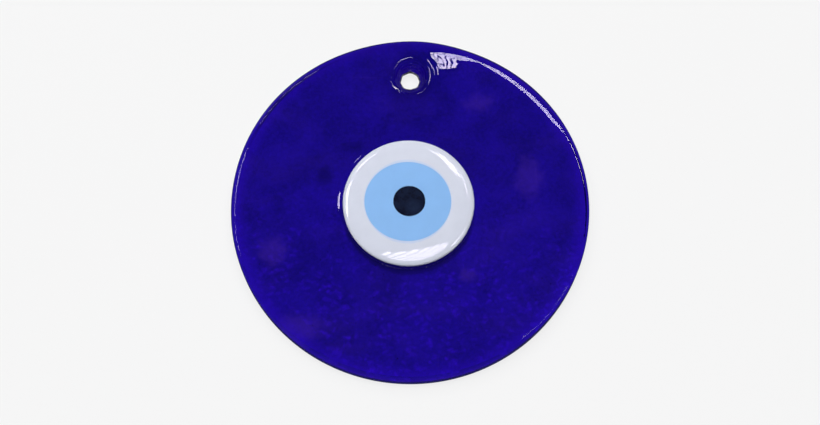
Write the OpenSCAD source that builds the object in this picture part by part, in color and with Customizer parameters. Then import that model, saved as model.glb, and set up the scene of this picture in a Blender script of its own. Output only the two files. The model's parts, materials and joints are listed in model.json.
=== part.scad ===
// Evil eye ornament: a poured disc of cobalt glass with an eye of three glass drops fused on it.
// It lies on its back. The origin is the centre of the back face, +Z comes out of the face
// that carries the eye, and +Y points towards the hanging hole.

/* [Base disc] */
// Diameter of the blue disc
disc_d = 150; // [120:1:200]
// Thickness of the blue disc
disc_t = 8; // [7:0.5:12]
// Radius of the fire-polished front edge
front_edge_r = 4.5; // [2:0.5:4.5]
// Radius of the chilled back edge
back_edge_r = 1.5; // [0.5:0.5:2]

/* [Hanging hole] */
// Diameter of the pierced hole
hole_d = 7.4; // [4:0.2:9]
// Distance from the centre of the hole to the rim of the disc
hole_margin = 19; // [16:0.5:24]
// Diameter of the dished mouth that the piercing tool leaves on the face
mouth_d = 14.5; // [12:0.5:18]
// Length of the straight wall of the hole
land_l = 3; // [2:0.5:4]
// Depth of the flare where the hole breaks through the back
back_flare_h = 0.8; // [0.4:0.2:1.2]
// Slope of that flare, as its width over its depth
back_flare_slope = 1; // [0.5:0.25:1.5]
// Width of the swollen glass between the mouth and the flat of the face
collar_w = 5; // [3:0.5:8]
// Height of the swollen glass above the face
collar_h = 1.2; // [0.5:0.1:2]

/* [White drop] */
// Diameter of the white drop
white_d = 55.2; // [46:0.2:67]
// Height of the rounded edge of the white drop above the face
white_h = 3.4; // [2.4:0.2:5]
// Rise of its crown from that edge to the centre
crown_h = 1.5; // [0.6:0.1:2]
// Depth that the drop has sunk into the face
white_sink = 1; // [0.5:0.1:2]
// Sideways offset of the white drop from the centre of the disc
white_x = -0.6; // [-3:0.1:3]
// Lengthways offset of the white drop from the centre of the disc
white_y = -0.2; // [-3:0.1:3]

/* [Light blue iris] */
// Diameter of the light blue drop
iris_d = 35.6; // [26:0.2:40]
// Thickness of the light blue drop at its edge
iris_t = 2.8; // [1.6:0.1:3]
// Sideways offset of the iris from the centre of the white drop
iris_x = -0.3; // [-2:0.1:2]

/* [Dark pupil] */
// Diameter of the dark drop
pupil_d = 13.1; // [8:0.1:18]
// Thickness of light blue glass left under the dark drop
pupil_bed = 0.8; // [0.4:0.1:1]
// Sideways offset of the pupil from the centre of the white drop
pupil_x = 0.3; // [-2:0.1:2]

/* [Hidden] */
$fn = 128;
// the shallow domes have large radii, so their arcs take finer steps
DOME_FN = 960;
// how far a cutter runs past the face that it cuts
over = 1;
// hanging hole
hole_y = disc_d / 2 - hole_margin;
land_top = back_flare_h + land_l;
back_mouth_d = hole_d + 2 * back_flare_h * back_flare_slope;
collar_d = mouth_d + 2 * collar_w;
collar_dome_r = (pow(collar_d / 2, 2) + pow(collar_h, 2)) / (2 * collar_h);
// height of the collar where the mouth cuts it
mouth_z = disc_t + collar_h - (collar_dome_r - sqrt(pow(collar_dome_r, 2) - pow(mouth_d / 2, 2)));
mouth_slope = (mouth_d - hole_d) / 2 / (mouth_z - land_top);
// white drop
edge_r = white_h / 2;
seat_d = white_d - white_h;
crown_r = (pow(seat_d / 2, 2) + pow(crown_h, 2)) / (2 * crown_h);
crown_z = disc_t + white_h + crown_h;
// floors of the two inlays, the iris measured from where its far edge meets the crown
iris_reach = iris_d / 2 + abs(iris_x);
iris_edge_z = crown_z - crown_r + sqrt(pow(crown_r, 2) - pow(iris_reach, 2));
iris_floor = iris_edge_z - iris_t;
pupil_floor = iris_floor + pupil_bed;

// half section of the disc, with its two rounded edges
module disc_section() {
    difference() {
        square([disc_d / 2, disc_t]);
        translate([disc_d / 2 - front_edge_r, disc_t - front_edge_r]) {
            difference() {
                square(front_edge_r + over);
                circle(r = front_edge_r);
            }
        }
        translate([disc_d / 2 - back_edge_r, back_edge_r]) {
            difference() {
                translate([0, -back_edge_r - over]) square(back_edge_r + over);
                circle(r = back_edge_r);
            }
        }
    }
}

// half section of a shallow dome of radius r whose top is at height z
module dome_section(half_w, rise, r, z) {
    intersection() {
        translate([0, z - rise]) square([half_w, rise]);
        translate([0, z - r]) circle(r = r, $fn = DOME_FN);
    }
}

// low swelling of the face round the hole
module collar() {
    translate([0, hole_y, 0]) {
        rotate_extrude() {
            dome_section(collar_d / 2, collar_h, collar_dome_r, disc_t + collar_h);
            translate([0, disc_t - over]) square([collar_d / 2, over]);
        }
    }
}

// the pierced hole: back flare, straight wall and dished mouth
module hole_cutter() {
    translate([0, hole_y, 0]) {
        translate([0, 0, -over]) {
            cylinder(
                d1 = back_mouth_d + 2 * over * back_flare_slope,
                d2 = hole_d,
                h = back_flare_h + over
            );
        }
        translate([0, 0, back_flare_h]) cylinder(d = hole_d, h = land_l);
        translate([0, 0, land_top]) {
            cylinder(
                d1 = hole_d,
                d2 = mouth_d + 2 * over * mouth_slope,
                h = mouth_z - land_top + over
            );
        }
    }
}

// the whole eye, before it is divided into its three drops
module eye_body() {
    translate([white_x, white_y, 0]) {
        rotate_extrude() {
            dome_section(seat_d / 2, crown_h, crown_r, crown_z);
            translate([0, disc_t - white_sink]) square([seat_d / 2, white_sink + white_h]);
            translate([seat_d / 2, disc_t + edge_r]) {
                intersection() {
                    circle(r = edge_r);
                    translate([0, -edge_r]) square([edge_r, white_h]);
                }
            }
        }
    }
}

// columns of glass that divide the eye
module seat_column() {
    translate([white_x, white_y, disc_t - white_sink]) cylinder(d = seat_d, h = white_sink + over);
}

module iris_column() {
    translate([white_x + iris_x, white_y, iris_floor]) cylinder(d = iris_d, h = crown_z - iris_floor + over);
}

module pupil_column() {
    translate([white_x + pupil_x, white_y, pupil_floor]) cylinder(d = pupil_d, h = crown_z - pupil_floor + over);
}

module blue_disc() {
    color("navy") {
        difference() {
            union() {
                rotate_extrude() disc_section();
                collar();
            }
            hole_cutter();
            seat_column();
        }
    }
}

module white_drop() {
    color("white") {
        difference() {
            eye_body();
            iris_column();
        }
    }
}

module iris_drop() {
    color("lightskyblue") {
        difference() {
            intersection() {
                eye_body();
                iris_column();
            }
            pupil_column();
        }
    }
}

module pupil_drop() {
    color([0.06, 0.07, 0.16]) {
        intersection() {
            eye_body();
            pupil_column();
        }
    }
}

blue_disc();
white_drop();
iris_drop();
pupil_drop();
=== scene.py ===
import bmesh
import bpy
import json
import math
import numpy as np
from mathutils import Matrix, Vector
from mathutils.geometry import delaunay_2d_cdt


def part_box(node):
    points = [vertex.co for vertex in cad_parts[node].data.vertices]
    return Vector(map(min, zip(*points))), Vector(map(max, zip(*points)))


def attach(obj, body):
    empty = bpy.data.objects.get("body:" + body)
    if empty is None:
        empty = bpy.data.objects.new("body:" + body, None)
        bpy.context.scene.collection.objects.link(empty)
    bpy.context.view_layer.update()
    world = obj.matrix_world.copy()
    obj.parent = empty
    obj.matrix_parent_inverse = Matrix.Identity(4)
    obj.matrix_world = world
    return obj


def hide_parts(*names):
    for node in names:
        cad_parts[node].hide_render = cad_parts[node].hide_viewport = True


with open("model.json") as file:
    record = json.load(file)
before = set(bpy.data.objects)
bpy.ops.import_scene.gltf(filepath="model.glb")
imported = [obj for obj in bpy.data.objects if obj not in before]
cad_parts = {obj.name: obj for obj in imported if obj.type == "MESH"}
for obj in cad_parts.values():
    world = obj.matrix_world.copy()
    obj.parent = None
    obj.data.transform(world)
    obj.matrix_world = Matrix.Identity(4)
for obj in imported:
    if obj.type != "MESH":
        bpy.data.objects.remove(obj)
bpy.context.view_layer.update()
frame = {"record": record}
scene = bpy.context.scene
mm = 0.001     # shapes are worked out in millimetres and scaled when they become objects


def boxInMm(node):
    low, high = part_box(node)
    return np.array(low) / mm, np.array(high) / mm


mounts = {m["name"]: m for m in frame["record"]["mounts"]}
hangingHole = mounts["hanging_hole"]
holeY = hangingHole["pos_m"][1] / mm
holeR = hangingHole["dims"]["r_mm"]
landTop = hangingHole["pos_m"][2] / mm + hangingHole["dims"]["length_mm"] / 2

discLow, discHigh = boxInMm("blue_disc")
whiteLow, whiteHigh = boxInMm("white_drop")
irisLow, irisHigh = boxInMm("iris_drop")
pupilLow, pupilHigh = boxInMm("pupil_drop")
discR = (discHigh[0] - discLow[0]) / 2
eyeX, eyeY = ((whiteLow + whiteHigh) / 2)[:2]
irisX, irisY = ((irisLow + irisHigh) / 2)[:2]
pupilX, pupilY = ((pupilLow + pupilHigh) / 2)[:2]
seatZ = whiteLow[2]
crownZ = whiteHigh[2]
seatDepth = 1.0     # how far the white drop sank into the face
faceZ = seatZ + seatDepth


def smoothStep(low, high, x):
    t = np.clip((x - low) / (high - low), 0, 1)
    return t * t * (3 - 2 * t)


def bump(x, middle, width):
    return np.exp(-((x - middle) / width) ** 2)


def near(angle, middle, width):
    # 1 at a bearing given in degrees, fading to 0 either side of it
    away = np.angle(np.exp(1j * (angle - math.radians(middle))))
    return np.exp(-(away / math.radians(width)) ** 2)


def varied(angle, base, changes):
    # a value that grows round chosen bearings: each change is its size, its bearing and its spread
    total = base
    for size, middle, spread in changes:
        total = total + size * near(angle, middle, spread)
    return total


def swell(x, y, seed, wavelength, height, waves=9):
    # gentle unevenness of hot glass: a few crossed waves of nearly one length
    rng = np.random.RandomState(seed)
    total = np.zeros_like(x, dtype=float)
    for _ in range(waves):
        way = rng.uniform(0, 2 * math.pi)
        length = wavelength * rng.uniform(0.7, 1.5)
        along = (x * math.cos(way) + y * math.sin(way)) / length
        total += np.sin(2 * math.pi * along + rng.uniform(0, 2 * math.pi))
    return total * height / math.sqrt(waves)


def wobble(angle, seed, height, first=2, last=6):
    # how far a hand-made circle strays from a true one at each angle
    rng = np.random.RandomState(seed)
    total = np.zeros_like(angle, dtype=float)
    for n in range(first, last + 1):
        total += rng.normal() * np.sin(n * angle + rng.uniform(0, 2 * math.pi)) / n
    return total * height


def around(count):
    return np.linspace(0, 2 * math.pi, count, endpoint=False)


def circle(cx, cy, radius, angles):
    return np.stack([cx + radius * np.cos(angles), cy + radius * np.sin(angles)], -1)


def hexGrid(reach, spacing, seed, nudge=0.05):
    # even scatter of points over a square, nudged so that no pattern shows
    rng = np.random.RandomState(seed)
    rowGap = spacing * math.sqrt(3) / 2
    rows = []
    for row in range(int(2 * reach / rowGap) + 2):
        x = np.arange(-reach, reach, spacing) + (row % 2) * spacing / 2
        rows.append(np.stack([x, np.full_like(x, -reach + row * rowGap)], -1))
    grid = np.concatenate(rows)
    return grid + rng.uniform(-nudge, nudge, grid.shape) * spacing


def joinUp(points):
    # triangles between points that all lie in one plane
    result = delaunay_2d_cdt([Vector(p) for p in points.tolist()], [], [], 0, 1e-7)
    return np.array([tuple(p) for p in result[0]]), np.array(result[2])


class Shell:
    # collects rings and sheets of points and faces, then welds them into one closed mesh
    def __init__(self):
        self.points = []
        self.faces = []
        self.coats = []    # which of the piece's materials each face carries
        self.count = 0

    def strip(self, rows, coat=0, coatFrom=0):
        # rows of the same number of points, each row a closed ring; the coat starts at one of them
        rows = np.asarray(rows)
        rings, steps = rows.shape[:2]
        start = self.count
        self.points.append(rows.reshape(-1, 3))
        self.count += rings * steps
        i, j = np.meshgrid(np.arange(rings - 1), np.arange(steps), indexing="ij")
        a = start + i * steps + j
        b = start + i * steps + (j + 1) % steps
        quads = np.stack([a, b, b + steps, a + steps], -1).reshape(-1, 4)
        self.faces += quads.tolist()
        self.coats += [coat if row >= coatFrom else 0 for row in i.reshape(-1)]

    def sheet(self, points, triangles):
        self.faces += (np.asarray(triangles) + self.count).tolist()
        self.coats += [0] * len(triangles)
        self.points.append(np.asarray(points))
        self.count += len(points)

    def build(self, name, bubbles=()):
        mesh = bpy.data.meshes.new(name)
        mesh.from_pydata((np.concatenate(self.points) * mm).tolist(), [], self.faces)
        mesh.polygons.foreach_set("material_index", np.array(self.coats, dtype=np.int32))
        work = bmesh.new()
        work.from_mesh(mesh)
        bmesh.ops.remove_doubles(work, verts=work.verts, dist=0.002 * mm)
        bmesh.ops.dissolve_degenerate(work, edges=work.edges, dist=0.0005 * mm)
        bmesh.ops.recalc_face_normals(work, faces=work.faces)
        for x, y, z, radius in bubbles:
            place = Matrix.Translation(Vector((x, y, z)) * mm)
            made = bmesh.ops.create_icosphere(work, subdivisions=2, radius=radius * mm, matrix=place)
            inner = {face for vert in made["verts"] for face in vert.link_faces}
            bmesh.ops.reverse_faces(work, faces=list(inner))
        work.to_mesh(mesh)
        work.free()
        mesh.shade_smooth()
        mesh.set_sharp_from_angle(angle=math.radians(32))
        piece = bpy.data.objects.new(name, mesh)
        scene.collection.objects.link(piece)
        return piece


# the poured blue disc, with the hole that was pierced while it was soft
disc = {
    "rimSteps": 600,
    "mouthSteps": 216,
    "mouthRings": 17,
    "mouthReach": 14.4,    # the rings round the hole go out this far
    "seatSteps": 420,
    "seatRings": 19,
    "seatR": 25.9,
    "seatSlack": 0.02,
    "seatReach": 33.3,     # and the rings round the eye this far
    "faceGrid": 0.66,
    "backGrid": 1.9,
    "unevenness": ((11, 46, 0.030), (12, 17, 0.006)),    # seed, wavelength and height
    "plateTexture": ((21, 9, 0.06), (22, 24, 0.08)),
    "bubbles": 90,
}

# its edge, where a change is a size, the bearing where it is greatest and its spread
rim = {
    "rows": 20,
    "sideRows": 6,
    "backRows": 8,
    "skinRows": 8,         # rows at the foot of the roll that carry the chilled skin
    "backEdge": 1.5,
    "shrunk": 0.06,
    "wobble": 0.035,
    "width": 0.35,
    "wider": ((4.2, 90, 70), (0.8, 174, 24), (1.1, -38, 13)),
    "crisp": (1.25, -90, 62),
    "rolled": (-38, 18),
    "crispWider": 1.45,
    "drop": 0.3,
    "dropPerWidth": 1.27,
    "crispDrop": 1.9,
    "fallStart": 75.0,
    "fallSooner": ((-7.9, 60, 60),),
    "fallCurve": 26.0,     # radius at which the face starts to bend down before its edge
}


def rimCrisp(angle):
    # 1 where the front edge is a crisp corner over a leaning side, 0 where it is rolled
    most, middle, spread = rim["crisp"]
    return np.minimum(most * near(angle, middle, spread), 1) * (1 - near(angle, *rim["rolled"]))


def rimWidth(angle):
    return varied(angle, rim["width"], rim["wider"]) + rim["crispWider"] * rimCrisp(angle)


def rimDrop(angle):
    return rim["drop"] + rim["dropPerWidth"] * rimWidth(angle) + rim["crispDrop"] * rimCrisp(angle)


def rimFall(radius, angle):
    # the face slopes off gently before the rolled edge, most of all at the upper right
    start = varied(angle, rim["fallStart"], rim["fallSooner"])
    return np.maximum(radius - start, 0) ** 2 / (2 * rim["fallCurve"])


def rimRadius(angle):
    return discR - rim["shrunk"] + wobble(angle, 5, rim["wobble"])


# the ring of glass that the piercing tool raised round the hole, and the crater inside it
collar = {
    "crest": 8.5,
    "crestWider": ((1.5, 60, 75),),
    # steepness at some distances outward from the crest, then that of the broad swell beyond it
    "nearSteps": (0.0, 0.7, 1.5, 2.3, 2.9, 3.4, 5.0, 9.0),
    "nearSlope": (0.0, 0.13, 0.24, 0.22, 0.185, 0.142, 0.055, 0.0),
    "nearShare": 0.25,
    "nearMore": ((0.75, 25, 76),),
    "farSteps": (3.0, 5.5, 9.0, 12.0, 20.0),
    "farSlope": (0.0, 0.085, 0.105, 0.09, 0.0),
    "farShare": 0.5,
    "farMore": ((0.5, 25, 100),),
    # steepness inward from the crest
    "craterSteps": (0.0, 0.35, 0.85, 1.4, 2.6, 3.8, 7.0),
    "craterSlope": (0.0, 0.15, 0.36, 0.80, 1.05, 0.75, 1.3),
    "craterRows": 44,
    "washRow": 39,         # the rows from here down carry the grey scale
    "shelfEdge": 0.30,
    "shelf": ((1.0, -138, 13),),
    "throatSlack": 0.12,
    "throatWider": ((0.22, 90, 60),),
    "throatWobble": 0.32,
    "throatHigher": ((1.4, -90, 70),),
    "flare": 1.4,
}


def crestRadius(bearing):
    return varied(bearing, collar["crest"], collar["crestWider"])


def fallAlong(distance, steps, slopes):
    # how far a slope given at a few distances has fallen by then
    fine = np.linspace(steps[0], steps[-1], 801)
    slope = np.interp(fine, steps, slopes)
    fall = np.concatenate([[0], np.cumsum((slope[1:] + slope[:-1]) / 2 * np.diff(fine))])
    return np.interp(distance, fine, fall)


def craterFall(distance, bearing):
    # with a little shelf below the crest at the lower left
    steps = collar["craterSteps"]
    slopes = collar["craterSlope"]
    edge = collar["shelfEdge"]
    shelf = varied(bearing, 0, collar["shelf"])
    fall = fallAlong(np.minimum(distance, edge), steps, slopes)
    fall += np.interp(edge, steps, slopes) * np.clip(distance - edge, 0, shelf)
    beyond = np.maximum(distance - shelf, edge)
    return fall + fallAlong(beyond, steps, slopes) - fallAlong(edge, steps, slopes)


def slopeHeight(outward, steps, slopes):
    # height above the foot of a slope
    return fallAlong(steps[-1], steps, slopes) - fallAlong(outward, steps, slopes)


def collarHeight(toHole, bearing):
    outward = toHole - crestRadius(bearing)
    close = slopeHeight(outward, collar["nearSteps"], collar["nearSlope"])
    beyond = slopeHeight(outward, collar["farSteps"], collar["farSlope"])
    close = close * varied(bearing, collar["nearShare"], collar["nearMore"])
    return close + beyond * varied(bearing, collar["farShare"], collar["farMore"])


# the lip of blue that the white drop pushed up round itself, and the crevice inside it
lip = {
    "height": 0.41,
    "radius": 28.3,
    "width": 1.0,
    "sides": ((1, 178, 13), (0.72, 139, 17), (0.36, -38, 14)),
    "crevice": 0.22,
    "creviceR": 26.0,
    "creviceWidth": 1.2,
}


def faceHeight(x, y):
    z = faceZ
    for seed, wavelength, height in disc["unevenness"]:
        z = z + swell(x, y, seed, wavelength, height)
    z -= rimFall(np.hypot(x, y), np.arctan2(y, x))
    z += collarHeight(np.hypot(x, y - holeY), np.arctan2(y - holeY, x))
    toEye = np.hypot(x - eyeX, y - eyeY)
    sides = varied(np.arctan2(y - eyeY, x - eyeX), 0, lip["sides"])
    z += lip["height"] * bump(toEye, lip["radius"], lip["width"]) * sides
    return z - lip["crevice"] * bump(toEye, lip["creviceR"], lip["creviceWidth"])


def craterRows(angle):
    # from the crest down the stepped crater to the throat, and out at the back
    crest = crestRadius(angle)
    ring = circle(0, holeY, crest, angle)
    crestZ = faceHeight(ring[:, 0], ring[:, 1])
    throat = varied(angle, holeR + collar["throatSlack"], collar["throatWider"])
    throat = throat + wobble(angle, 31, collar["throatWobble"], 3, 8)
    throatZ = varied(angle, landTop, collar["throatHigher"])
    deeper = crestZ - throatZ - craterFall(crest - throat, angle)
    rows = []
    for t in np.linspace(0, 1, collar["craterRows"]):
        radius = crest + (throat - crest) * t
        fall = craterFall(crest - radius, angle) + deeper * smoothStep(0.35, 1.0, t)
        rings = 0.03 * np.sin(t * 36 + 0.5 * np.sin(angle + 1)) * bump(t, 0.60, 0.16)
        rows.append(np.column_stack([circle(0, holeY, radius, angle), crestZ - fall + rings]))
    for t in np.linspace(0, 1, 7)[1:]:
        radius = throat + collar["flare"] * t
        rows.append(np.column_stack([circle(0, holeY, radius, angle), throatZ * (1 - t)]))
    return rows


def rimRows(angle, outline, width):
    # rolled front edge, side and chilled back edge
    inner = outline - width
    ring = circle(0, 0, inner, angle)
    top = faceHeight(ring[:, 0], ring[:, 1])
    drop = rimDrop(angle)
    crisp = rimCrisp(angle)
    rows = []
    for a in np.linspace(0, math.pi / 2, rim["rows"] + 1):
        radius = inner + width * math.sin(a)
        ramp = rimFall(radius, angle) - rimFall(inner, angle)
        fall = (1 - crisp) * (1 - math.cos(a)) + crisp * (1 - (1 - math.sin(a)) ** 0.8)
        z = top - drop * fall - ramp * math.cos(a)
        rows.append(np.column_stack([circle(0, 0, radius, angle), z]))
    sideTop = rows[-1][:, 2]
    backEdge = np.minimum(rim["backEdge"], 0.75 * sideTop)
    for t in np.linspace(0, 1, rim["sideRows"] + 1)[1:]:
        rows.append(np.column_stack([circle(0, 0, outline, angle), sideTop + (backEdge - sideTop) * t]))
    for a in np.linspace(0, math.pi / 2, rim["backRows"] + 1)[1:]:
        radius = outline - backEdge * (1 - math.cos(a))
        rows.append(np.column_stack([circle(0, 0, radius, angle), backEdge * (1 - math.sin(a))]))
    return rows


def makeFace(shell, angle, inner, mouthAngle, seatAngle):
    # the upper face: rings close to the hole and the eye, an even scatter elsewhere
    seatR = disc["seatR"] + disc["seatSlack"]
    crest = crestRadius(mouthAngle)
    mouthLoops = [circle(0, holeY, crest + (disc["mouthReach"] - crest) * t, mouthAngle)
                  for t in np.linspace(0, 1, disc["mouthRings"])]
    seatLoops = [circle(eyeX, eyeY, seatR + (disc["seatReach"] - seatR) * t ** 1.2, seatAngle)
                 for t in np.linspace(0, 1, disc["seatRings"])]
    grid = hexGrid(discR, disc["faceGrid"], 3)
    bearing = np.arctan2(grid[:, 1], grid[:, 0]) % (2 * math.pi)
    edge = np.interp(bearing, np.append(angle, 2 * math.pi), np.append(inner, inner[0]))
    keep = edge - np.hypot(grid[:, 0], grid[:, 1]) > 0.5
    keep &= np.hypot(grid[:, 0], grid[:, 1] - holeY) > disc["mouthReach"] + 0.45
    keep &= np.hypot(grid[:, 0] - eyeX, grid[:, 1] - eyeY) > disc["seatReach"] + 0.5
    loops = [circle(0, 0, inner, angle)] + mouthLoops + seatLoops
    places, triangles = joinUp(np.concatenate(loops + [grid[keep]]))
    middles = places[triangles].mean(1)
    toHole = np.hypot(middles[:, 0], middles[:, 1] - holeY)
    inHole = toHole < crestRadius(np.arctan2(middles[:, 1] - holeY, middles[:, 0])) - 0.004
    chord = math.cos(math.pi / disc["seatSteps"])
    inSeat = np.hypot(middles[:, 0] - eyeX, middles[:, 1] - eyeY) < seatR * chord - 0.001
    heights = faceHeight(places[:, 0], places[:, 1])
    shell.sheet(np.column_stack([places, heights]), triangles[~(inHole | inSeat)])
    return seatLoops[0]


def makeBack(shell, backLoop, backHole):
    # the back, flat where it lay on the plate, with the plate's faint texture
    holeEdge = np.hypot(backHole[:, 0], backHole[:, 1] - holeY).max()
    rimEdge = np.hypot(backLoop[:, 0], backLoop[:, 1]).min()
    grid = hexGrid(discR, disc["backGrid"], 4)
    keep = np.hypot(grid[:, 0], grid[:, 1]) < rimEdge - 1.0
    keep &= np.hypot(grid[:, 0], grid[:, 1] - holeY) > holeEdge + 0.8
    places, triangles = joinUp(np.concatenate([backLoop, backHole, grid[keep]]))
    middles = places[triangles].mean(1)
    bearing = np.arctan2(middles[:, 1] - holeY, middles[:, 0]) % (2 * math.pi)
    steps = np.arctan2(backHole[:, 1] - holeY, backHole[:, 0]) % (2 * math.pi)
    order = np.argsort(steps)
    edge = np.interp(bearing, steps[order], np.hypot(backHole[:, 0], backHole[:, 1] - holeY)[order],
                     period=2 * math.pi)
    triangles = triangles[np.hypot(middles[:, 0], middles[:, 1] - holeY) > edge - 0.004]
    x, y = places[:, 0], places[:, 1]
    inside = smoothStep(rimEdge, rimEdge - 5, np.hypot(x, y))
    inside *= smoothStep(holeEdge, holeEdge + 4, np.hypot(x, y - holeY))
    texture = sum(np.abs(swell(x, y, *waves)) for waves in disc["plateTexture"])
    shell.sheet(np.column_stack([places, texture * inside]), triangles)


def makeSeat(shell, seatLoop, seatAngle):
    # the pocket that the white drop sank into
    rows = [np.column_stack([seatLoop, faceHeight(seatLoop[:, 0], seatLoop[:, 1])])]
    floorZ = seatZ - disc["seatSlack"]
    for share in (1.0, 0.66, 0.33, 0.0):
        loop = circle(eyeX, eyeY, (disc["seatR"] + disc["seatSlack"]) * share, seatAngle)
        rows.append(np.column_stack([loop, np.full(len(loop), floorZ)]))
    shell.strip(rows)


def scatterBubbles():
    # seeds of air caught in the glass, mostly in the lower half and clear of the eye and hole
    rng = np.random.RandomState(61)
    bubbles = []
    while len(bubbles) < disc["bubbles"]:
        x, y = rng.uniform(-70, 70, 2)
        z = rng.uniform(1.5, faceZ - 1.6)
        radius = 0.07 + 0.20 * rng.uniform() ** 3
        clear = math.hypot(x, y) < 69 and math.hypot(x, y - holeY) > 12
        clear = clear and math.hypot(x - eyeX, y - eyeY) > 29
        if clear and rng.uniform() < 0.15 + 0.85 * smoothStep(10, -30, y):
            bubbles.append((x, y, z, radius))
    return bubbles


def makeDisc():
    shell = Shell()
    angle = around(disc["rimSteps"])
    mouthAngle = around(disc["mouthSteps"])
    seatAngle = around(disc["seatSteps"])
    outline = rimRadius(angle)
    width = rimWidth(angle)
    seatLoop = makeFace(shell, angle, outline - width, mouthAngle, seatAngle)
    edge = rimRows(angle, outline, width)
    shell.strip(edge, coat=2, coatFrom=rim["rows"] - rim["skinRows"])
    crater = craterRows(mouthAngle)
    shell.strip(crater, coat=1, coatFrom=collar["washRow"])
    makeBack(shell, edge[-1][:, :2], crater[-1][:, :2])
    makeSeat(shell, seatLoop, seatAngle)
    return shell.build("cobalt_disc", scatterBubbles())


# the eye: three drops of glass, each pressed into the one below while hot
eye = {
    "steps": 360,
    "widestZ": 1.75,       # height of the widest part of the white drop above the face
    "power": 2.8,          # how square its shoulder is
    "whiteR": (whiteHigh[0] - whiteLow[0]) / 2 - 0.25,
    "whiteWobble": 0.07,
    "irisR": (irisHigh[0] - irisLow[0]) / 2,
    "irisShrunk": 0.22,
    "irisOval": 0.40,
    "irisWobble": 0.07,
    "pupilR": (pupilHigh[0] - pupilLow[0]) / 2,
    "pupilGrown": 0.03,
    "pupilOval": 0.06,
    "pupilWobble": 0.09,
    "gap": 0.008,
}


def whiteOutline(angle):
    return eye["whiteR"] + wobble(angle, 41, eye["whiteWobble"], 2, 5)


def irisOutline(angle):
    flattened = eye["irisOval"] * np.cos(2 * angle)
    return eye["irisR"] - eye["irisShrunk"] + flattened + wobble(angle, 42, eye["irisWobble"], 3, 6)


def pupilOutline(angle):
    flattened = eye["pupilOval"] * np.cos(2 * angle)
    return eye["pupilR"] + eye["pupilGrown"] + flattened + wobble(angle, 43, eye["pupilWobble"], 3, 6)


def crownHeight(x, y):
    # the upper face of the whole eye
    low = faceZ + eye["widestZ"]
    share = np.hypot(x - eyeX, y - eyeY) / whiteOutline(np.arctan2(y - eyeY, x - eyeX))
    p = eye["power"]
    return low + (crownZ - low) * (1 - np.clip(share, 0, 1) ** p) ** (1 / p)


def ringOf(cx, cy, radii, z=None):
    # a ring at one height, or one that lies on the crown
    ring = circle(cx, cy, radii, around(eye["steps"]))
    if z is None:
        z = crownHeight(ring[:, 0], ring[:, 1])
    return np.column_stack([ring, np.broadcast_to(z, len(ring))])


def floorRings(ring, cx, cy, z, shares):
    # a flat floor under a ring, drawn in towards a middle point
    rows = []
    for share in shares:
        xy = np.array([cx, cy]) + (ring[:, :2] - np.array([cx, cy])) * share
        rows.append(np.column_stack([xy, np.full(len(xy), z)]))
    return rows


def makeWhite():
    shell = Shell()
    angle = around(eye["steps"])
    outline = whiteOutline(angle)
    low = faceZ + eye["widestZ"]
    seat = ringOf(irisX, irisY, irisOutline(angle))
    rows = floorRings(seat, irisX, irisY, irisLow[2], (0.0, 0.4, 0.8, 1.0))
    rows.append(seat)
    outer = ringOf(eyeX, eyeY, outline, low)
    for a in np.linspace(0, math.pi / 2, 41)[1:]:
        xy = seat[:, :2] * (1 - math.sin(a)) + outer[:, :2] * math.sin(a)
        rows.append(np.column_stack([xy, crownHeight(xy[:, 0], xy[:, 1])]))
    # the overhanging underside, then down into the seat of the disc
    for a in np.linspace(0, math.pi / 2, 13)[1:]:
        radii = outline - (outline - disc["seatR"]) * (1 - math.cos(a))
        rows.append(ringOf(eyeX, eyeY, radii, low - eye["widestZ"] * math.sin(a)))
    for share in (1.0, 0.7, 0.35, 0.0):
        rows.append(ringOf(eyeX, eyeY, np.full(len(angle), disc["seatR"] * share), seatZ))
    shell.strip(rows)
    return shell.build("white_gather")


def makeIris():
    shell = Shell()
    angle = around(eye["steps"])
    radii = irisOutline(angle) - eye["gap"]
    seat = ringOf(pupilX, pupilY, pupilOutline(angle))
    outer = ringOf(irisX, irisY, radii)
    rows = floorRings(seat, pupilX, pupilY, pupilLow[2], (0.0, 0.5, 1.0))
    for t in np.linspace(0, 1, 17):
        xy = seat[:, :2] * (1 - t) + outer[:, :2] * t
        rows.append(np.column_stack([xy, crownHeight(xy[:, 0], xy[:, 1])]))
    rows += floorRings(outer, irisX, irisY, irisLow[2] + eye["gap"], (1.0, 0.66, 0.33, 0.0))
    shell.strip(rows)
    return shell.build("iris_gather")


def makePupil():
    shell = Shell()
    radii = pupilOutline(around(eye["steps"])) - eye["gap"]
    rows = [ringOf(pupilX, pupilY, radii * t) for t in np.linspace(0, 1, 13)]
    rows += floorRings(rows[-1], pupilX, pupilY, pupilLow[2] + eye["gap"], (1.0, 0.66, 0.33, 0.0))
    shell.strip(rows)
    return shell.build("pupil_gather")


class Wire:
    # one output of a node; sums on it add Math nodes
    def __init__(self, tree, socket):
        self.tree = tree
        self.socket = socket

    def maths(self, operation, *values):
        node = self.tree.nodes.new("ShaderNodeMath")
        node.operation = operation
        for slot, value in zip(node.inputs, values):
            if isinstance(value, Wire):
                self.tree.links.new(value.socket, slot)
            else:
                slot.default_value = value
        return Wire(self.tree, node.outputs[0])

    def __add__(self, other):
        return self.maths("ADD", self, other)

    def __radd__(self, other):
        return self.maths("ADD", other, self)

    def __sub__(self, other):
        return self.maths("SUBTRACT", self, other)

    def __rsub__(self, other):
        return self.maths("SUBTRACT", other, self)

    def __mul__(self, other):
        return self.maths("MULTIPLY", self, other)

    def __rmul__(self, other):
        return self.maths("MULTIPLY", other, self)

    def __truediv__(self, other):
        return self.maths("DIVIDE", self, other)

    def __rtruediv__(self, other):
        return self.maths("DIVIDE", other, self)

    def __pow__(self, other):
        return self.maths("POWER", self, other)

    def sine(self):
        return self.maths("SINE", self)


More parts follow.
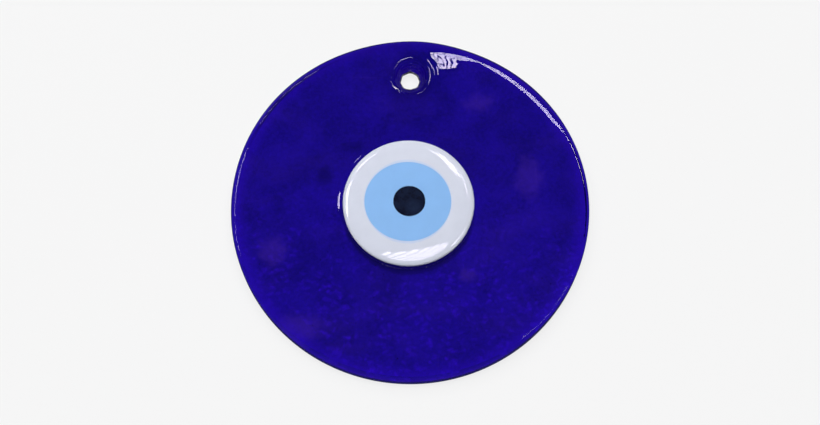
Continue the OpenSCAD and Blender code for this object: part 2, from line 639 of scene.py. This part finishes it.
class Finish:
    # a material being wired up
    def __init__(self, name):
        self.material = bpy.data.materials.new(name)
        self.material.use_nodes = True
        self.tree = self.material.node_tree
        self.tree.nodes.clear()
        self.place = self.node("ShaderNodeTexCoord", {}, {}, 3)
        split = self.node("ShaderNodeSeparateXYZ", {}, {0: self.place})
        self.x, self.y, self.z = [Wire(self.tree, out) for out in split.socket.node.outputs]

    def node(self, kind, settings=None, sockets=None, output=0):
        node = self.tree.nodes.new(kind)
        for key, value in (settings or {}).items():
            setattr(node, key, value)
        for key, value in (sockets or {}).items():
            if isinstance(value, Wire):
                self.tree.links.new(value.socket, node.inputs[key])
            else:
                node.inputs[key].default_value = value
        return Wire(self.tree, node.outputs[output])

    def noise(self, scale, detail=3.0, roughness=0.5, distortion=0.0, place=None):
        return self.node("ShaderNodeTexNoise", {}, {
            "Vector": place or self.place, "Scale": scale, "Detail": detail, "Roughness": roughness,
            "Distortion": distortion})

    def cells(self, scale, place=None):
        return self.node("ShaderNodeTexVoronoi", {"feature": "SMOOTH_F1"}, {
            "Vector": place or self.place, "Scale": scale, "Smoothness": 0.6, "Randomness": 1.0})

    def ramp(self, value, low, high, toLow=0.0, toHigh=1.0):
        return self.node("ShaderNodeMapRange", {"interpolation_type": "SMOOTHSTEP"}, {
            "Value": value, "From Min": low, "From Max": high, "To Min": toLow, "To Max": toHigh})

    def mix(self, share, first, second):
        return self.node("ShaderNodeMix", {"data_type": "RGBA"}, {0: share, 6: first, 7: second}, 2)

    def stretched(self, along, across, turn):
        # coordinates drawn out in one direction, for scratches and streaks
        return self.node("ShaderNodeMapping", {}, {
            "Vector": self.place, "Rotation": (0, 0, math.radians(turn)), "Scale": (along, across, across)})

    def away(self, x, y):
        # distance in millimetres from an upright axis
        dx = (self.x - x * mm) / mm
        dy = (self.y - y * mm) / mm
        return (dx * dx + dy * dy) ** 0.5

    def patch(self, x, y, wide, high, rough=0.0):
        # soft-edged oval patch, its edge roughened by noise
        dx = (self.x - x * mm) / (wide * mm)
        dy = (self.y - y * mm) / (high * mm)
        reach = (dx * dx + dy * dy) ** 0.5
        return self.ramp(reach + (self.noise(260, 3) - 0.5) * rough, 1.0, 0.35)

    def relief(self, height, distance, strength=1.0):
        return self.node("ShaderNodeBump", {}, {"Height": height, "Distance": distance, "Strength": strength})

    def glass(self, colour, normal, settings):
        sockets = {"Base Color": colour, "IOR": 1.52, "Normal": normal}
        sockets.update(settings)
        return self.node("ShaderNodeBsdfPrincipled", {}, sockets)

    def finish(self, shader, volume=None):
        out = self.tree.nodes.new("ShaderNodeOutputMaterial")
        self.tree.links.new(shader.socket, out.inputs["Surface"])
        if volume is not None:
            self.tree.links.new(volume.socket, out.inputs["Volume"])
        return self.material


def rgb(red, green, blue):
    return (red, green, blue, 1.0)


cobalt = {
    "deep": rgb(0.022, 0.009, 0.26),
    "clear": rgb(0.066, 0.024, 0.62),
    # painted light, used for the brighter blotches and for the band inside the rim
    "blotch": rgb(0.13, 0.022, 1.0),
    "smoke": rgb(0.25, 0.15, 0.62),
    "shade": rgb(0.010, 0.007, 0.11),
    "absorb": rgb(0.29, 0.0, 0.74),
    "density": 277.0,
    "relief": 0.00003,
    # pale clouds of painted light, then a dark spot in the glass and a painted shadow line beside the white
    # drop: centre, half width and half height
    "clouds": ((24, -30, 5, 3.5), (-46, -52, 14, 7), (29, 46, 9, 5), (50, 12, 8, 12), (-57, -20, 8, 8)),
    "folds": ((-36, 13.5, 5.2, 5.2), (-24, 26, 6.5, 2.2)),
}


def cobaltGlass():
    f = Finish("cobalt_glass")
    milky = f.ramp(f.noise(60, 5, 0.65, 0.5), 0.34, 0.68)
    grain = f.ramp(f.noise(620, 3, 0.7), 0.25, 0.75)
    colour = f.mix(0.55 * milky + 0.45 * grain, cobalt["deep"], cobalt["clear"])
    # painted light: brighter blotches where light comes back up through the textured back, thickest in the
    # lower half
    lower = f.ramp(f.y / mm + (f.noise(30, 2) - 0.5) * 60, 15, -45)
    drift = f.node("ShaderNodeVectorMath", {"operation": "MULTIPLY_ADD"}, {
        0: f.node("ShaderNodeTexNoise", {}, {"Vector": f.place, "Scale": 170, "Detail": 3.0}, 1),
        1: (0.007, 0.005, 0.0), 2: f.stretched(0.85, 1.0, 4)})
    spots = f.ramp(f.cells(360, drift), 0.48, 0.10)
    scatter = f.ramp(f.noise(75, 3, 0.6), 0.36, 0.60)
    colour = f.mix(spots * scatter * (0.12 + 0.88 * lower), colour, cobalt["blotch"])
    haze = f.ramp(f.noise(48, 4, 0.6, 0.3, f.stretched(0.7, 1.3, 20)), 0.45, 0.75)
    colour = f.mix(haze * 0.16, colour, cobalt["smoke"])
    # painted light: pale patches where light comes back up through the textured back
    for cloud in cobalt["clouds"]:
        colour = f.mix(f.patch(*cloud, 1.3) * 0.36, colour, cobalt["smoke"])
    # a dark spot in the glass, and a painted shadow line beside the upper left of the white drop
    for darkMark in cobalt["folds"]:
        colour = f.mix(f.patch(*darkMark, 0.8) * 0.55, colour, cobalt["shade"])
    # painted light: a brighter band towards the thin rim, where more light passes through
    fromMiddle = f.away(0, 0)
    colour = f.mix(f.ramp(fromMiddle, 67, 74.5) * 0.45, colour, cobalt["blotch"])
    # painted shade: a dark line along the upper side, at the foot of the rolled edge
    paintedRimShade = f.ramp(f.z / mm, 7.2, 6.8) * f.ramp(f.y / mm, 15, 50) * f.ramp(fromMiddle, 72.7, 73.2)
    colour = f.mix(paintedRimShade * 0.85, colour, cobalt["shade"])
    # painted shadow in the crevice round the eye, heaviest on its lower side
    toEye = f.away(eyeX, eyeY - 0.9)
    below = f.ramp((f.y / mm - eyeY) / eye["whiteR"], 0.35, -0.75)
    colour = f.mix(f.ramp(toEye, 28.8, 27.4) * (0.15 + 0.65 * below), colour, cobalt["shade"])
    # darker crater, with rings of the tool's grey scale
    toHole = f.away(0.4, holeY + 1.2)
    colour = f.mix(f.ramp(toHole, 10.2, 7.0) * 0.40, colour, cobalt["shade"])
    tide = (toHole * 7.5 + f.noise(220, 2) * 3).sine()
    colour = f.mix(f.ramp(tide, 0.3, 1.0) * f.ramp(toHole, 8.2, 6.2) * 0.35, colour, cobalt["smoke"])
    # hairline scratches
    marks = f.ramp(f.noise(1.0, 1, 0.3, 0.0, f.stretched(26, 900, 32)), 0.735, 0.80)
    marks = marks + f.ramp(f.noise(1.0, 1, 0.3, 0.0, f.stretched(900, 30, 20)), 0.735, 0.80)
    marks = marks * f.ramp(f.noise(60, 1), 0.50, 0.60)
    colour = f.mix(marks * 0.30, colour, cobalt["smoke"])
    normal = f.relief(f.noise(130, 2) + 0.03 * f.noise(900, 2) - 0.3 * marks, cobalt["relief"])
    shader = f.glass(colour, normal, {"Roughness": 0.0, "Transmission Weight": 1.0})
    volume = f.node("ShaderNodeVolumeAbsorption", {}, {
        "Color": cobalt["absorb"], "Density": cobalt["density"]})
    return f.finish(shader, volume)


def chilledSkin():
    # the side, dulled where it cooled against the plate
    f = Finish("chilled_skin")
    cloud = f.ramp(f.noise(90, 4, 0.6), 0.3, 0.7)
    colour = f.mix(cloud, rgb(0.010, 0.003, 0.20), rgb(0.016, 0.005, 0.30))
    # painted shade: the skin darkens towards the upper edge
    colour = f.mix(f.ramp(f.y / mm, 20, 58) * 0.75, colour, rgb(0.004, 0.002, 0.05))
    normal = f.relief(f.noise(200, 3), 0.00004)
    return f.finish(f.glass(colour, normal, {"Roughness": f.ramp(cloud, 0, 1, 0.12, 0.22)}))


def kilnWash():
    # the grey scale that the piercing tool left in the throat of the hole
    f = Finish("kiln_wash")
    crust = f.ramp(f.noise(900, 5, 0.7), 0.35, 0.70)
    colour = f.mix(crust, rgb(0.018, 0.018, 0.03), rgb(0.33, 0.32, 0.33))
    normal = f.relief(f.noise(1400, 4, 0.7), 0.0002)
    return f.finish(f.node("ShaderNodeBsdfPrincipled", {}, {
        "Base Color": colour, "Normal": normal, "Roughness": f.ramp(crust, 0, 1, 0.35, 0.8)}))


# the two opaque glasses: their colour, and the circle where the glass inside has bled into them
milk = {
    "white": {"colour": (0.865, 0.885, 0.925), "edgeX": irisX, "edgeY": irisY, "edgeR": eye["irisR"],
              "bleed": (0.60, 0.74, 0.96), "soft": 0.7},
    "lightBlue": {"colour": (0.34, 0.63, 1.0), "edgeX": pupilX, "edgeY": pupilY, "edgeR": eye["pupilR"],
                  "bleed": (0.10, 0.22, 0.45), "soft": 0.35},
}


def milkGlass(name, colour, edgeX, edgeY, edgeR, bleed, soft):
    f = Finish(name)
    cloud = f.ramp(f.noise(110, 4, 0.6), 0.3, 0.7)
    tint = f.mix(cloud, rgb(*[c * 0.965 for c in colour]), rgb(*colour))
    fleck = f.ramp(f.noise(700, 2), 0.60, 0.78)
    tint = f.mix(fleck * 0.05, tint, rgb(*[c * 0.7 for c in colour]))
    ragged = f.away(edgeX, edgeY) + (f.noise(420, 3) - 0.5) * 0.5
    tint = f.mix(f.ramp(ragged, edgeR + soft, edgeR) * 0.5, tint, rgb(*bleed))
    normal = f.relief(f.noise(160, 2) + 0.1 * f.noise(1100, 2), 0.00002)
    rough = f.ramp(f.noise(300, 3), 0.3, 0.8, 0.0, 0.02)
    return f.finish(f.glass(tint, normal, {"Roughness": rough}))


def darkGlass():
    f = Finish("dark_glass")
    deep = f.ramp(f.noise(260, 4, 0.6), 0.35, 0.70)
    # painted reflection: a paler smudge low on the right of the pupil
    low = f.patch(pupilX + 1.6, pupilY - 2.2, 4.6, 4.0, 1.0)
    tint = f.mix(deep * 0.5 + low * 0.5, rgb(0.005, 0.007, 0.020), rgb(0.014, 0.024, 0.058))
    normal = f.relief(f.noise(160, 2), 0.00002)
    return f.finish(f.glass(tint, normal, {"Roughness": f.ramp(deep, 0, 1, 0.03, 0.06)}))


def paleFloor():
    f = Finish("pale_floor")
    grain = f.mix(f.noise(3, 2), rgb(0.152, 0.150, 0.136), rgb(0.154, 0.152, 0.138))
    return f.finish(f.node("ShaderNodeBsdfPrincipled", {}, {
        "Base Color": grain, "Roughness": 0.9, "Specular IOR Level": 0.0,
        "Emission Color": rgb(1.0, 1.0, 1.0), "Emission Strength": studio["floorGlow"]}))


camera = {
    "distance": 649.2,
    "tilt": 17.16,
    "aimY": -2.65,
    "aimZ": 4.0,
    "lens": 68.1,
    "sensor": 36,
}


def makeCamera():
    data = bpy.data.cameras.new("camera")
    data.lens = camera["lens"]
    data.sensor_width = camera["sensor"]
    data.clip_start = 0.01
    data.clip_end = 20
    viewer = bpy.data.objects.new("camera", data)
    scene.collection.objects.link(viewer)
    tilt = math.radians(camera["tilt"])
    back = Vector((0, -math.sin(tilt), math.cos(tilt)))
    viewer.location = Vector((0, camera["aimY"], camera["aimZ"])) * mm + back * camera["distance"] * mm
    viewer.rotation_mode = "QUATERNION"
    viewer.rotation_quaternion = (-back).to_track_quat("-Z", "Y")
    scene.camera = viewer


# overhead panels: plan centre, length along a bearing, width across it, and the bars that divide them
studio = {
    "height": 2.0,
    "tone": (1.0, 0.90, 1.06),
    "floorReach": 4.0,
    "floorDrop": 0.0002,
    "floorGlow": 0.80,
    "airColour": rgb(0.9, 0.92, 1.0),
    "airGlow": 0.05,
    "fill": {"at": (-0.15, 0.55, 1.9), "size": (2.6, 2.2), "glow": 2.6, "tone": (0.97, 0.99, 1.10)},
    "panels": {
        "sashRight": {"at": (0.510, 1.290), "size": (0.59, 0.28), "bearing": -71, "glow": 15, "panes": (1, 6),
                      "gap": 0.34},
        "slotRight": {"at": (0.865, 1.04), "size": (0.46, 0.06), "bearing": 84, "glow": 15},
        "slotLeft": {"at": (-1.32, 0.78), "size": (0.85, 0.56), "bearing": 76, "glow": 12},
        "slotFar": {"at": (-0.84, 1.55), "size": (0.60, 0.17), "bearing": 25, "glow": 14},
        "slotLow": {"at": (1.08, -0.12), "size": (0.55, 0.26), "bearing": 52, "glow": 8},
    },
    "skylight": {"at": (0.07, -0.13), "size": (0.95, 0.60), "bearing": 22, "glow": 9.5, "bars": 58,
                 "strips": 9, "gap": 0.34},
}


def makePane(name, x, y, bearing, length, width, glow):
    # one lit rectangle that shows only in reflections
    data = bpy.data.lights.new(name, "AREA")
    data.shape = "RECTANGLE"
    data.size = length
    data.size_y = width
    data.energy = glow * math.pi * length * width
    data.color = studio["tone"]
    lamp = bpy.data.objects.new(name, data)
    scene.collection.objects.link(lamp)
    spot = Matrix.Translation(Vector((x, y, studio["height"])))
    lamp.matrix_world = spot @ Matrix.Rotation(bearing, 4, "Z")
    lamp.visible_camera = False
    lamp.visible_diffuse = False
    lamp.visible_transmission = False


def makePanel(name, at, size, bearing, glow, panes=(1, 1), gap=0.15):
    length, width = size
    turn = math.radians(bearing)
    clear = [1 - gap if count > 1 else 1 for count in panes]
    for i in range(panes[0]):
        for j in range(panes[1]):
            u = ((i + 0.5) / panes[0] - 0.5) * length
            v = ((j + 0.5) / panes[1] - 0.5) * width
            x = at[0] + u * math.cos(turn) - v * math.sin(turn)
            y = at[1] + u * math.sin(turn) + v * math.cos(turn)
            makePane(name, x, y, turn, length / panes[0] * clear[0], width / panes[1] * clear[1], glow)


def makeSkylight(at, size, bearing, glow, bars, strips, gap):
    # an oval window, its bars slanting across it
    turn = math.radians(bearing)
    slant = math.radians(bars)
    turned = np.array([[math.cos(turn), math.sin(turn)], [-math.sin(turn), math.cos(turn)]])
    axes = turned * 2 / np.array([size]).T
    oval = axes.T @ axes
    along = np.array([math.cos(slant), math.sin(slant)])
    across = np.array([-math.sin(slant), math.cos(slant)])
    a = along @ oval @ along
    b = along @ oval @ across
    c = across @ oval @ across
    reach = math.sqrt(a / (a * c - b * b))
    for t in reach * ((np.arange(strips) + 0.5) / strips * 2 - 1):
        half = math.sqrt((b * b - a * c) * t * t + a) / a
        x, y = np.array(at) + t * across - b * t / a * along
        makePane("skylight", x, y, slant, 2 * half, 2 * reach / strips * (1 - gap), glow)


def makeFill(at, size, glow, tone):
    # a broad soft light that shapes the drops and leaves no reflection
    data = bpy.data.lights.new("fill", "AREA")
    data.shape = "RECTANGLE"
    data.size, data.size_y = size
    data.color = tone
    data.energy = glow * math.pi * data.size * data.size_y
    lamp = bpy.data.objects.new("fill", data)
    scene.collection.objects.link(lamp)
    lamp.location = at
    lamp.rotation_mode = "QUATERNION"
    lamp.rotation_quaternion = Vector(lamp.location).to_track_quat("Z", "Y")
    lamp.visible_camera = False
    lamp.visible_glossy = False


def makeSheet(name, corners, faces):
    mesh = bpy.data.meshes.new(name)
    mesh.from_pydata(corners, [], faces)
    sheet = bpy.data.objects.new(name, mesh)
    scene.collection.objects.link(sheet)
    return sheet


def makeStage():
    # the floor, and walls that only the camera sees, so that low views end in the same pale tone
    reach = studio["floorReach"]
    corners = [(x * reach, y * reach) for x, y in ((-1, -1), (1, -1), (1, 1), (-1, 1))]
    floor = makeSheet("floor", [(x, y, 0) for x, y in corners], [(0, 1, 2, 3)])
    walls = makeSheet("walls", [(x, y, z * reach) for z in (0, 1) for x, y in corners],
                      [(i, (i + 1) % 4, (i + 1) % 4 + 4, i + 4) for i in range(4)])
    walls.visible_diffuse = False
    walls.visible_transmission = False
    walls.visible_shadow = False
    pale = paleFloor()
    for sheet in (floor, walls):
        sheet.location.z = -studio["floorDrop"]
        sheet.visible_glossy = False    # keeps the pale tone out of the polished edges
        sheet.data.materials.append(pale)


def makeLights():
    world = bpy.data.worlds.new("studio")
    scene.world = world
    world.use_nodes = True
    backdrop = world.node_tree.nodes["Background"].inputs
    backdrop["Color"].default_value = studio["airColour"]
    backdrop["Strength"].default_value = studio["airGlow"]
    for name, panel in studio["panels"].items():
        makePanel(name, **panel)
    makeSkylight(**studio["skylight"])
    makeFill(**studio["fill"])
    scene.view_settings.view_transform = "Standard"
    scene.view_settings.look = "None"


def place(piece, finishes, node, slot):
    for finish in finishes:
        piece.data.materials.append(finish)
    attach(piece, "root")
    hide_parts(node)
    print(piece.name, "is in place,", len(piece.data.polygons), "faces")


makeCamera()
makeStage()
makeLights()
print("camera, floor and lights are in place")

place(makeDisc(), [cobaltGlass(), kilnWash(), chilledSkin()], "blue_disc", "cobalt_glass")
place(makeWhite(), [milkGlass("white_glass", **milk["white"])], "white_drop", "white_glass")
place(makeIris(), [milkGlass("light_blue_glass", **milk["lightBlue"])], "iris_drop", "light_blue_glass")
place(makePupil(), [darkGlass()], "pupil_drop", "dark_glass")
